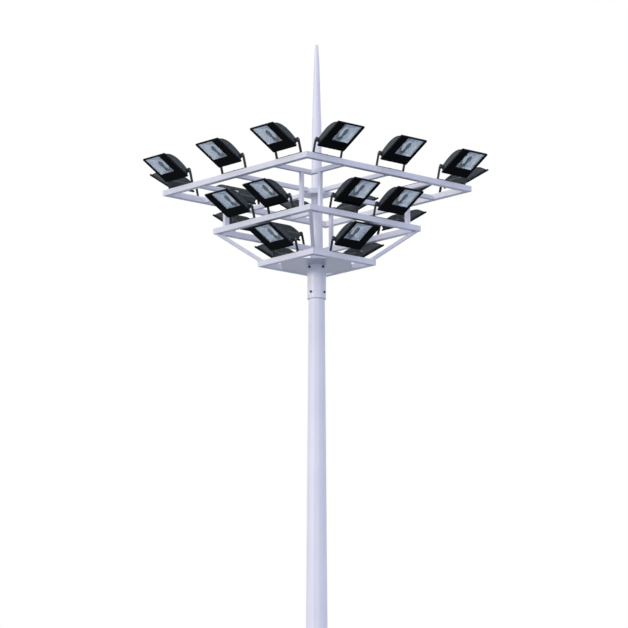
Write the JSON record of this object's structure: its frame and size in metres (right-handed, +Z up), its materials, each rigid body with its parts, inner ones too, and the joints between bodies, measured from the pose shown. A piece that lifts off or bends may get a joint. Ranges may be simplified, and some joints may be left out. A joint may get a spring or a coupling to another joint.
{
  "type": "high mast floodlight tower",
  "caption": "Tapered twelve-sided mast with a spire and stacked square lamp frames that carry tilting floodlights on yokes.",
  "frame": {"origin": "centre of the foot flange's underside, on the mast's axis at ground level", "axes": "+Z up along the mast; -Y is the front side of the square lamp frames and +X their right side"},
  "size_m": [3.9476, 3.9476, 15],
  "materials": {
    "painted_steel": "satin",
    "black_steel": "satin",
    "lamp_housing": "black powder coat, satin",
    "lamp_glass": "clear, gloss",
    "reflector": "bright"
  },
  "bodies": {
    "tower": {"base_flange": "painted_steel", "base_gussets": "painted_steel", "mast_lower": "painted_steel", "mast_upper": "painted_steel", "access_rim": "painted_steel", "access_door": "painted_steel", "head_sleeve": "painted_steel", "head_plate": "painted_steel", "head_column": "painted_steel", "spire": "painted_steel", "bottom_frame": "painted_steel", "middle_frame": "painted_steel", "top_frame": "painted_steel", "corner_beams": "painted_steel", "cross_beams": "painted_steel", "top_hub": "painted_steel", "upper_posts": "painted_steel", "corner_struts": "painted_steel", "sleeve_bolts": "black_steel", "lamp_yokes": "black_steel"},
    "floodlight_top_front_1": {"lamp_top_front_1": "lamp_housing"},
    "floodlight_top_front_2": {"lamp_top_front_2": "lamp_housing"},
    "floodlight_top_front_3": {"lamp_top_front_3": "lamp_housing"},
    "floodlight_top_right_1": {"lamp_top_right_1": "lamp_housing"},
    "floodlight_top_right_2": {"lamp_top_right_2": "lamp_housing"},
    "floodlight_top_right_3": {"lamp_top_right_3": "lamp_housing"},
    "floodlight_top_back_1": {"lamp_top_back_1": "lamp_housing"},
    "floodlight_top_back_2": {"lamp_top_back_2": "lamp_housing"},
    "floodlight_top_back_3": {"lamp_top_back_3": "lamp_housing"},
    "floodlight_top_left_1": {"lamp_top_left_1": "lamp_housing"},
    "floodlight_top_left_2": {"lamp_top_left_2": "lamp_housing"},
    "floodlight_top_left_3": {"lamp_top_left_3": "lamp_housing"},
    "floodlight_middle_front_1": {"lamp_middle_front_1": "lamp_housing"},
    "floodlight_middle_front_2": {"lamp_middle_front_2": "lamp_housing"},
    "floodlight_middle_right_1": {"lamp_middle_right_1": "lamp_housing"},
    "floodlight_middle_right_2": {"lamp_middle_right_2": "lamp_housing"},
    "floodlight_middle_back_1": {"lamp_middle_back_1": "lamp_housing"},
    "floodlight_middle_back_2": {"lamp_middle_back_2": "lamp_housing"},
    "floodlight_middle_left_1": {"lamp_middle_left_1": "lamp_housing"},
    "floodlight_middle_left_2": {"lamp_middle_left_2": "lamp_housing"},
    "floodlight_bottom_front": {"lamp_bottom_front": "lamp_housing"},
    "floodlight_bottom_right": {"lamp_bottom_right": "lamp_housing"},
    "floodlight_bottom_back": {"lamp_bottom_back": "lamp_housing"},
    "floodlight_bottom_left": {"lamp_bottom_left": "lamp_housing"}
  },
  "joints": [
    {"name": "tilt_top_front_1", "type": "hinge", "parent": "tower", "child": "floodlight_top_front_1", "pos_m": [-1.124, -1.526, 13.133], "axis": [-1, 0, 0], "range_deg": [-30, 45]},
    {"name": "tilt_top_front_2", "type": "hinge", "parent": "tower", "child": "floodlight_top_front_2", "pos_m": [0, -1.526, 13.133], "axis": [-1, 0, 0], "range_deg": [-30, 45]},
    {"name": "tilt_top_front_3", "type": "hinge", "parent": "tower", "child": "floodlight_top_front_3", "pos_m": [1.124, -1.526, 13.133], "axis": [-1, 0, 0], "range_deg": [-30, 45]},
    {"name": "tilt_top_right_1", "type": "hinge", "parent": "tower", "child": "floodlight_top_right_1", "pos_m": [1.526, -1.124, 13.133], "axis": [0, -1, 0], "range_deg": [-30, 45]},
    {"name": "tilt_top_right_2", "type": "hinge", "parent": "tower", "child": "floodlight_top_right_2", "pos_m": [1.526, 0, 13.133], "axis": [0, -1, 0], "range_deg": [-30, 45]},
    {"name": "tilt_top_right_3", "type": "hinge", "parent": "tower", "child": "floodlight_top_right_3", "pos_m": [1.526, 1.124, 13.133], "axis": [0, -1, 0], "range_deg": [-30, 45]},
    {"name": "tilt_top_back_1", "type": "hinge", "parent": "tower", "child": "floodlight_top_back_1", "pos_m": [1.124, 1.526, 13.133], "axis": [1, 0, 0], "range_deg": [-30, 45]},
    {"name": "tilt_top_back_2", "type": "hinge", "parent": "tower", "child": "floodlight_top_back_2", "pos_m": [0, 1.526, 13.133], "axis": [1, 0, 0], "range_deg": [-30, 45]},
    {"name": "tilt_top_back_3", "type": "hinge", "parent": "tower", "child": "floodlight_top_back_3", "pos_m": [-1.124, 1.526, 13.133], "axis": [1, 0, 0], "range_deg": [-30, 45]},
    {"name": "tilt_top_left_1", "type": "hinge", "parent": "tower", "child": "floodlight_top_left_1", "pos_m": [-1.526, 1.124, 13.133], "axis": [0, 1, 0], "range_deg": [-30, 45]},
    {"name": "tilt_top_left_2", "type": "hinge", "parent": "tower", "child": "floodlight_top_left_2", "pos_m": [-1.526, 0, 13.133], "axis": [0, 1, 0], "range_deg": [-30, 45]},
    {"name": "tilt_top_left_3", "type": "hinge", "parent": "tower", "child": "floodlight_top_left_3", "pos_m": [-1.526, -1.124, 13.133], "axis": [0, 1, 0], "range_deg": [-30, 45]},
    {"name": "tilt_middle_front_1", "type": "hinge", "parent": "tower", "child": "floodlight_middle_front_1", "pos_m": [-0.395, -1.033, 12.586], "axis": [-1, 0, 0], "range_deg": [-30, 45]},
    {"name": "tilt_middle_front_2", "type": "hinge", "parent": "tower", "child": "floodlight_middle_front_2", "pos_m": [0.395, -1.033, 12.586], "axis": [-1, 0, 0], "range_deg": [-30, 45]},
    {"name": "tilt_middle_right_1", "type": "hinge", "parent": "tower", "child": "floodlight_middle_right_1", "pos_m": [1.033, -0.395, 12.586], "axis": [0, -1, 0], "range_deg": [-30, 45]},
    {"name": "tilt_middle_right_2", "type": "hinge", "parent": "tower", "child": "floodlight_middle_right_2", "pos_m": [1.033, 0.395, 12.586], "axis": [0, -1, 0], "range_deg": [-30, 45]},
    {"name": "tilt_middle_back_1", "type": "hinge", "parent": "tower", "child": "floodlight_middle_back_1", "pos_m": [0.395, 1.033, 12.586], "axis": [1, 0, 0], "range_deg": [-30, 45]},
    {"name": "tilt_middle_back_2", "type": "hinge", "parent": "tower", "child": "floodlight_middle_back_2", "pos_m": [-0.395, 1.033, 12.586], "axis": [1, 0, 0], "range_deg": [-30, 45]},
    {"name": "tilt_middle_left_1", "type": "hinge", "parent": "tower", "child": "floodlight_middle_left_1", "pos_m": [-1.033, 0.395, 12.586], "axis": [0, 1, 0], "range_deg": [-30, 45]},
    {"name": "tilt_middle_left_2", "type": "hinge", "parent": "tower", "child": "floodlight_middle_left_2", "pos_m": [-1.033, -0.395, 12.586], "axis": [0, 1, 0], "range_deg": [-30, 45]},
    {"name": "tilt_bottom_front", "type": "hinge", "parent": "tower", "child": "floodlight_bottom_front", "pos_m": [0, -0.5985, 12.12], "axis": [-1, 0, 0], "range_deg": [-30, 3]},
    {"name": "tilt_bottom_right", "type": "hinge", "parent": "tower", "child": "floodlight_bottom_right", "pos_m": [0.5985, 0, 12.12], "axis": [0, -1, 0], "range_deg": [-30, 3]},
    {"name": "tilt_bottom_back", "type": "hinge", "parent": "tower", "child": "floodlight_bottom_back", "pos_m": [0, 0.5985, 12.12], "axis": [1, 0, 0], "range_deg": [-30, 3]},
    {"name": "tilt_bottom_left", "type": "hinge", "parent": "tower", "child": "floodlight_bottom_left", "pos_m": [-0.5985, 0, 12.12], "axis": [0, 1, 0], "range_deg": [-30, 3]}
  ]
}
